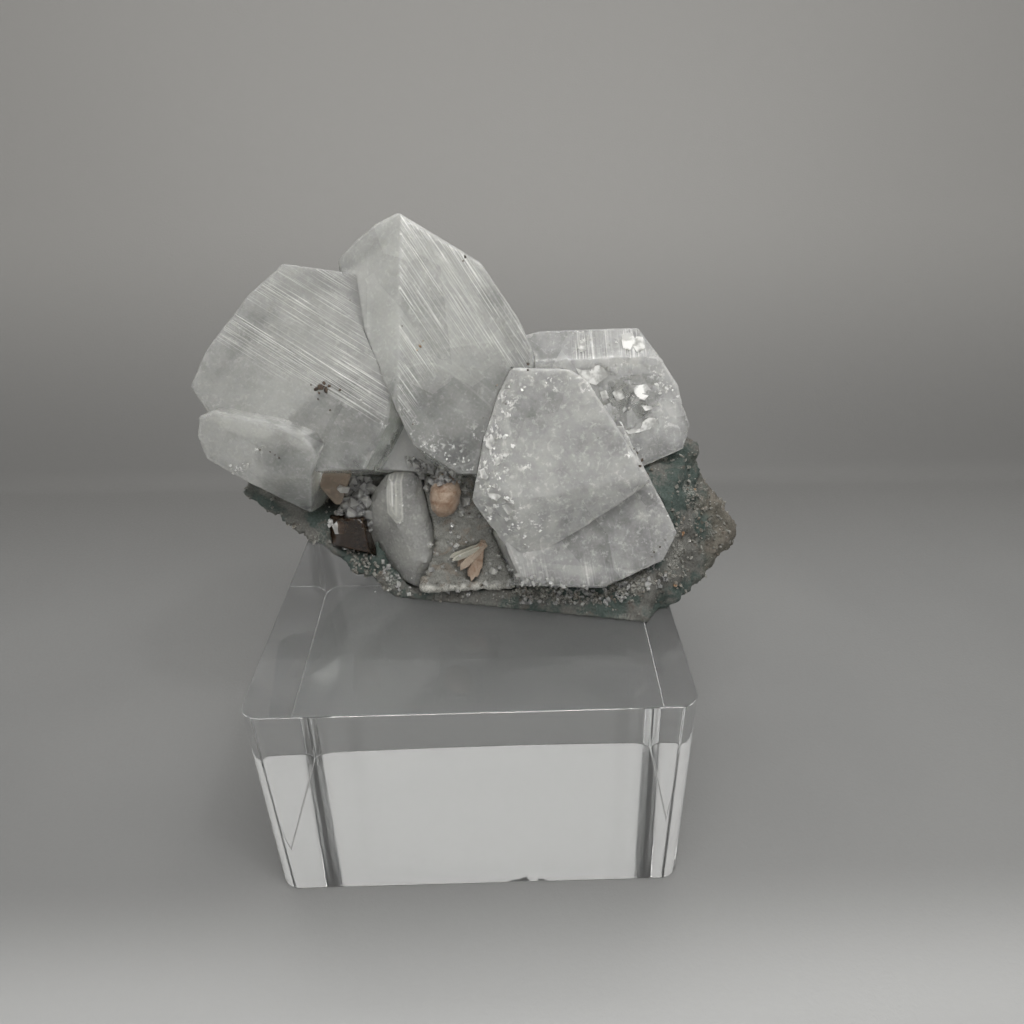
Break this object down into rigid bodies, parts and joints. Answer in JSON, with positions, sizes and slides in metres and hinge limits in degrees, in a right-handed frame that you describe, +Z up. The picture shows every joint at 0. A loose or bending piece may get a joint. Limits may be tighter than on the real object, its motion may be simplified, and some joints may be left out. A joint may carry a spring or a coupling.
{
  "type": "apophyllite crystal cluster on a display block",
  "caption": "Clear to milky apophyllite crystals on dark basalt with peach stilbite, resting on a clear acrylic display block",
  "frame": {"origin": "centre of the display block's underside", "axes": "+X to the viewer's right along the block's long side, +Y away from the viewer, +Z up; the tall crystal's tip is the highest point"},
  "size_m": [0.0693, 0.0447, 0.0751],
  "materials": {
    "clear_acrylic": "clear polished",
    "apophyllite": "glassy, partly milky, striated",
    "brown_apophyllite": "glassy, stained brown",
    "basalt": "rough broken rock with green clay",
    "druse": "sparkling crust of small crystals",
    "stilbite": "satin, pearly"
  },
  "bodies": {
    "root": {"display_block": "clear_acrylic", "basalt_matrix": "basalt", "druse_crust": "druse", "crystal_tall": "apophyllite", "crystal_left_pair": "apophyllite", "crystal_front_right": "apophyllite", "crystal_back_right": "apophyllite", "crystal_low_middle": "apophyllite", "crystal_low_left": "apophyllite", "brown_crystal_upper": "brown_apophyllite", "brown_crystal_lower": "brown_apophyllite", "stilbite_ball": "stilbite", "stilbite_sheaf": "stilbite"}
  },
  "joints": []
}
